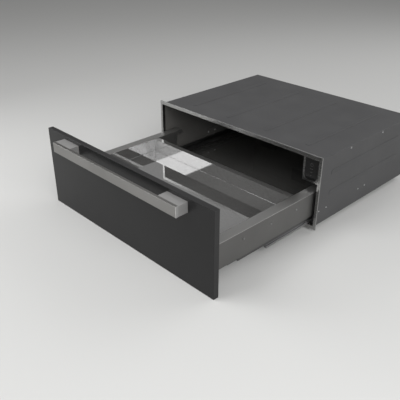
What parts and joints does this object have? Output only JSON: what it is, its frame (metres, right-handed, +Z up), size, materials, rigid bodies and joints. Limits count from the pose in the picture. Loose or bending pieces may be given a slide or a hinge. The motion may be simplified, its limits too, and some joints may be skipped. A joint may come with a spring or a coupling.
{
  "type": "built-in warming drawer",
  "caption": "Built-in warming drawer with a panel front, bar handle, polished heated tray, steel casing and full-extension runners, stored pulled open.",
  "frame": {"origin": "middle of the casing's underside, the centre of its shelf screw holes", "axes": "+Z up, +Y towards the back of the cabinet, +X to the user's right when facing the drawer"},
  "size_m": [0.756, 1.0605, 0.266],
  "materials": {
    "panel_board": "dark stained veneer, satin",
    "handle_metal": "fine horizontal brushing",
    "trim_steel": "bright brushed",
    "casing_steel": "dark glossy enamel",
    "drawer_steel": "brushed stainless",
    "basin_steel": "mirror polished stainless",
    "zinc_steel": "zinc plated",
    "runner_steel": "oiled rolled steel",
    "control_black": "gloss black touch glass",
    "board_green": "lacquered circuit board",
    "screw_steel": "plated",
    "buffer_rubber": "soft matt",
    "catch_plastic": "moulded grey",
    "insulation_wool": "mineral wool board",
    "heater_sheath": "dark oxidised sheath",
    "terminal_plastic": "moulded black"
  },
  "bodies": {
    "casing": {"casing_base": "casing_steel", "casing_top": "zinc_steel", "casing_side_left": "casing_steel", "casing_side_right": "casing_steel", "casing_back": "casing_steel", "trim_frame": "trim_steel", "rail_brackets_left": "zinc_steel", "rail_brackets_right": "zinc_steel", "wall_screws": "screw_steel", "casing_screws": "screw_steel", "runner_rail_left": "runner_steel", "runner_rail_right": "runner_steel", "control_housing": "drawer_steel", "control_glass": "control_black", "control_board": "board_green", "board_pillars": "zinc_steel", "terminal_cover": "terminal_plastic", "cord_gland": "terminal_plastic"},
    "drawer": {"front_panel": "panel_board", "handle_bar": "handle_metal", "handle_foot_left": "handle_metal", "handle_foot_right": "handle_metal", "handle_bolts": "screw_steel", "panel_buffers": "buffer_rubber", "panel_screws": "screw_steel", "drawer_carrier": "drawer_steel", "drawer_side_left": "drawer_steel", "drawer_side_right": "drawer_steel", "tray_bracket_left": "zinc_steel", "tray_bracket_right": "zinc_steel", "side_screws": "screw_steel", "tray_basin": "basin_steel", "underpan": "zinc_steel", "rear_crosspiece": "zinc_steel", "insulation_pad": "insulation_wool", "heat_reflector": "zinc_steel", "heating_element": "heater_sheath", "element_saddles": "zinc_steel", "thermostat": "zinc_steel", "runner_member_left": "runner_steel", "runner_member_right": "runner_steel", "latch_housing_left": "catch_plastic", "latch_housing_right": "catch_plastic"},
    "middle_left": {"runner_middle_left": "runner_steel"},
    "middle_right": {"runner_middle_right": "runner_steel"},
    "lever_left": {"latch_lever_left": "catch_plastic"},
    "lever_right": {"latch_lever_right": "catch_plastic"}
  },
  "joints": [
    {"name": "drawer_slide", "type": "slide", "parent": "casing", "child": "drawer", "axis": [0, 1, 0], "range_m": [0, 0.44]},
    {"name": "middle_left_slide", "type": "slide", "parent": "casing", "child": "middle_left", "axis": [0, 1, 0], "range_m": [0, 0.22]},
    {"name": "middle_right_slide", "type": "slide", "parent": "casing", "child": "middle_right", "axis": [0, 1, 0], "range_m": [0, 0.22]},
    {"name": "lever_left_pivot", "type": "hinge", "parent": "drawer", "child": "lever_left", "pos_m": [-0.3227, -0.6045, 0.03], "axis": [0, 0, 1], "range_deg": [0, 10]},
    {"name": "lever_right_pivot", "type": "hinge", "parent": "drawer", "child": "lever_right", "pos_m": [0.3227, -0.6045, 0.03], "axis": [0, 0, -1], "range_deg": [0, 10]}
  ],
  "couplings": [
    {"joint": "middle_left_slide", "follows": "drawer_slide", "ratio": 0.5},
    {"joint": "middle_right_slide", "follows": "drawer_slide", "ratio": 0.5}
  ]
}
